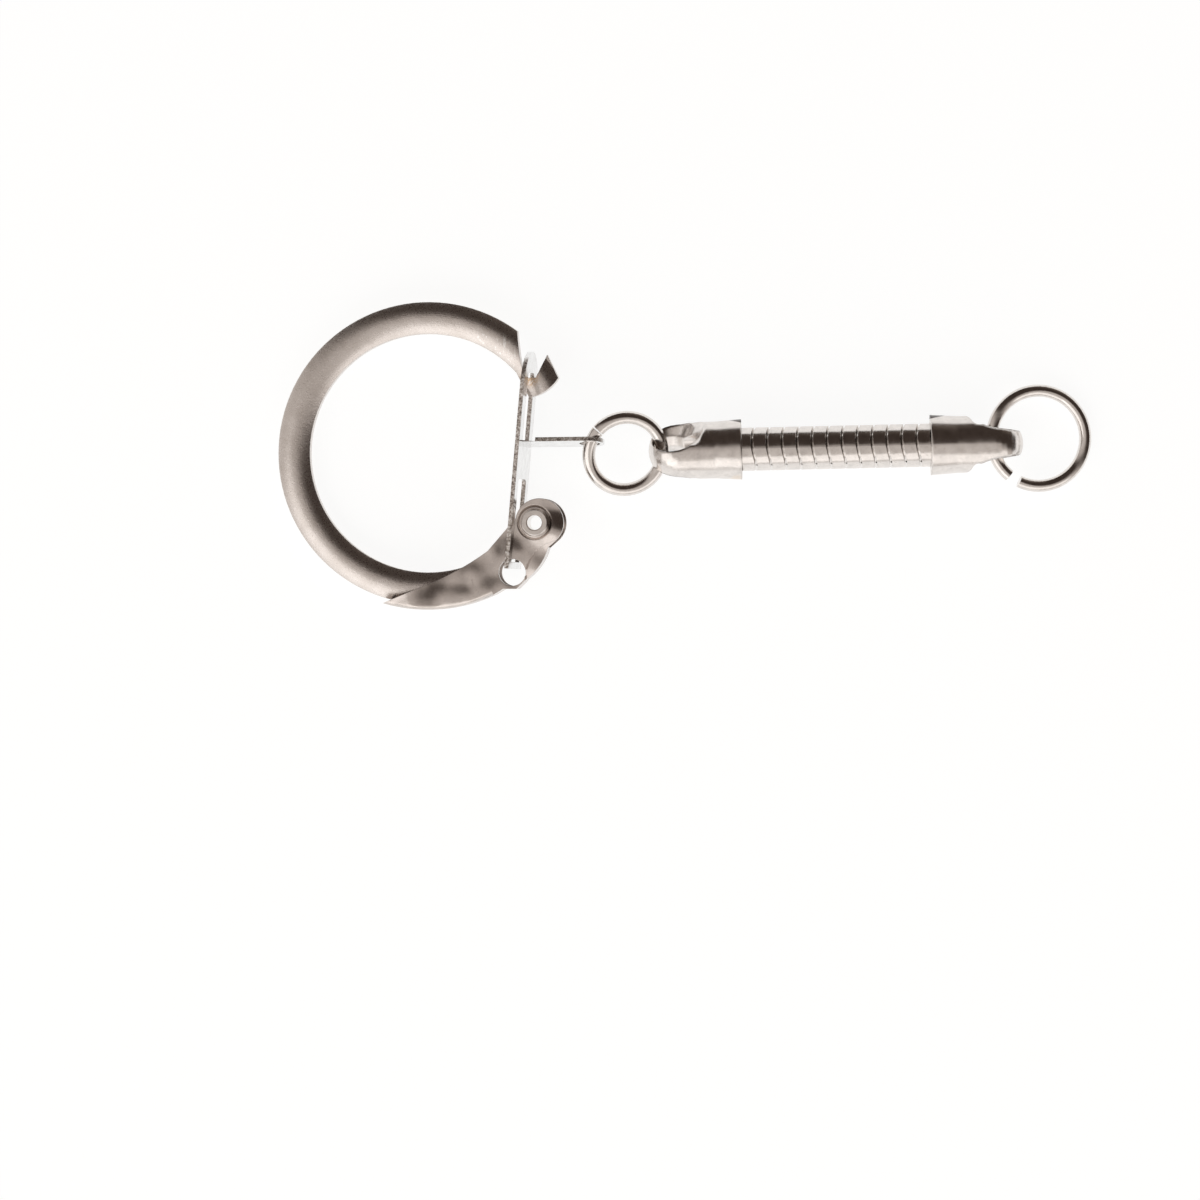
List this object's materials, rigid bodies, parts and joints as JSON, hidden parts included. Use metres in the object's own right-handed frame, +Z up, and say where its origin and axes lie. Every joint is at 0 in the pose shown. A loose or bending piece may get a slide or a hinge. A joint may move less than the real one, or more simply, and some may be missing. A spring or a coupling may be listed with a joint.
{
  "type": "snap key ring",
  "caption": "C-shaped key ring closed by a cam lever and a flat latch link, with a jump ring, a capped length of snake chain and a second jump ring for a charm.",
  "frame": {"origin": "centre of the C-shaped ring, in the middle of its thickness", "axes": "+X along the chain, from the ring to the far jump ring; +Z up from the table that the key ring lies on; +Y across, towards the ring's hook"},
  "size_m": [0.0666, 0.0251, 0.0052],
  "materials": {
    "ring_steel": "satin nickel plate, grained along the band",
    "rivet_steel": "polished nickel plate",
    "lever_steel": "polished nickel plate",
    "link_steel": "bright nickel plate, sheared edges",
    "wire_steel": "polished nickel plate",
    "cap_steel": "polished nickel plate, worn to brass at the lip",
    "chain_steel": "polished nickel plate"
  },
  "bodies": {
    "clasp": {"key_ring": "ring_steel", "pivot_rivet": "rivet_steel"},
    "lever": {"lever": "lever_steel"},
    "latch_link": {"latch_link": "link_steel"},
    "jump_ring_near": {"jump_ring_near": "wire_steel"},
    "cap_near": {"end_cap_near": "cap_steel", "snake_link_01": "chain_steel", "snake_link_02": "chain_steel"},
    "snake_link_03": {"snake_link_03": "chain_steel"},
    "snake_link_04": {"snake_link_04": "chain_steel"},
    "snake_link_05": {"snake_link_05": "chain_steel"},
    "snake_link_06": {"snake_link_06": "chain_steel"},
    "snake_link_07": {"snake_link_07": "chain_steel"},
    "snake_link_08": {"snake_link_08": "chain_steel"},
    "snake_link_09": {"snake_link_09": "chain_steel"},
    "snake_link_10": {"snake_link_10": "chain_steel"},
    "snake_link_11": {"snake_link_11": "chain_steel"},
    "snake_link_12": {"snake_link_12": "chain_steel"},
    "snake_link_13": {"snake_link_13": "chain_steel"},
    "cap_far": {"end_cap_far": "cap_steel", "snake_link_14": "chain_steel", "snake_link_15": "chain_steel"},
    "jump_ring_far": {"jump_ring_far": "wire_steel"}
  },
  "joints": [
    {"name": "lever_pivot", "type": "hinge", "parent": "latch_link", "child": "lever", "pos_m": [0.00696, -0.00975, 0.00066], "axis": [-0.0946, 0, 0.9955], "range_deg": [0, 68.8]},
    {"name": "ring_pivot", "type": "hinge", "parent": "lever", "child": "clasp", "pos_m": [0.00879, -0.00569, 0.00083], "axis": [-0.0946, 0, 0.9955], "range_deg": [-90, 0]},
    {"name": "near_ring_swing", "type": "hinge", "parent": "latch_link", "child": "jump_ring_near", "pos_m": [0.01329, 0.00091, 0.0018], "axis": [0.3658, 0.9089, 0.2002], "range_deg": [-90, 90]},
    {"name": "cap_near_swing", "type": "hinge", "parent": "jump_ring_near", "child": "cap_near", "pos_m": [0.01909, 0.00016, 0.00056], "axis": [-0.021, 0.9589, 0.2829], "range_deg": [-60, 60]},
    {"name": "chain_bend_01", "type": "hinge", "parent": "cap_near", "child": "snake_link_03", "pos_m": [0.02656, 0.00033, 0.00056], "axis": [0, 0, 1], "range_deg": [-5, 5]},
    {"name": "chain_bend_02", "type": "hinge", "parent": "snake_link_03", "child": "snake_link_04", "pos_m": [0.02777, 0.00035, 0.00056], "axis": [-0.0227, 0.9997, 0], "range_deg": [-5, 5]},
    {"name": "chain_bend_03", "type": "hinge", "parent": "snake_link_04", "child": "snake_link_05", "pos_m": [0.02899, 0.00038, 0.00056], "axis": [0, 0, 1], "range_deg": [-5, 5]},
    {"name": "chain_bend_04", "type": "hinge", "parent": "snake_link_05", "child": "snake_link_06", "pos_m": [0.03021, 0.00041, 0.00056], "axis": [-0.0227, 0.9997, 0], "range_deg": [-5, 5]},
    {"name": "chain_bend_05", "type": "hinge", "parent": "snake_link_06", "child": "snake_link_07", "pos_m": [0.03143, 0.00044, 0.00056], "axis": [0, 0, 1], "range_deg": [-5, 5]},
    {"name": "chain_bend_06", "type": "hinge", "parent": "snake_link_07", "child": "snake_link_08", "pos_m": [0.03265, 0.00047, 0.00056], "axis": [-0.0227, 0.9997, 0], "range_deg": [-5, 5]},
    {"name": "chain_bend_07", "type": "hinge", "parent": "snake_link_08", "child": "snake_link_09", "pos_m": [0.03387, 0.00049, 0.00056], "axis": [0, 0, 1], "range_deg": [-5, 5]},
    {"name": "chain_bend_08", "type": "hinge", "parent": "snake_link_09", "child": "snake_link_10", "pos_m": [0.03509, 0.00052, 0.00056], "axis": [-0.0227, 0.9997, 0], "range_deg": [-5, 5]},
    {"name": "chain_bend_09", "type": "hinge", "parent": "snake_link_10", "child": "snake_link_11", "pos_m": [0.03631, 0.00055, 0.00056], "axis": [0, 0, 1], "range_deg": [-5, 5]},
    {"name": "chain_bend_10", "type": "hinge", "parent": "snake_link_11", "child": "snake_link_12", "pos_m": [0.03753, 0.00058, 0.00056], "axis": [-0.0227, 0.9997, 0], "range_deg": [-5, 5]},
    {"name": "chain_bend_11", "type": "hinge", "parent": "snake_link_12", "child": "snake_link_13", "pos_m": [0.03875, 0.0006, 0.00056], "axis": [0, 0, 1], "range_deg": [-5, 5]},
    {"name": "chain_bend_12", "type": "hinge", "parent": "snake_link_13", "child": "cap_far", "pos_m": [0.03997, 0.00063, 0.00056], "axis": [-0.0227, 0.9997, 0], "range_deg": [-5, 5]},
    {"name": "far_ring_swing", "type": "hinge", "parent": "cap_far", "child": "jump_ring_far", "pos_m": [0.04607, 0.00077, -0.00029], "axis": [-0.1206, 0.9925, 0.0176], "range_deg": [-80, 80]}
  ],
  "couplings": [
    {"joint": "ring_pivot", "follows": "lever_pivot", "ratio": -1.3072}
  ]
}
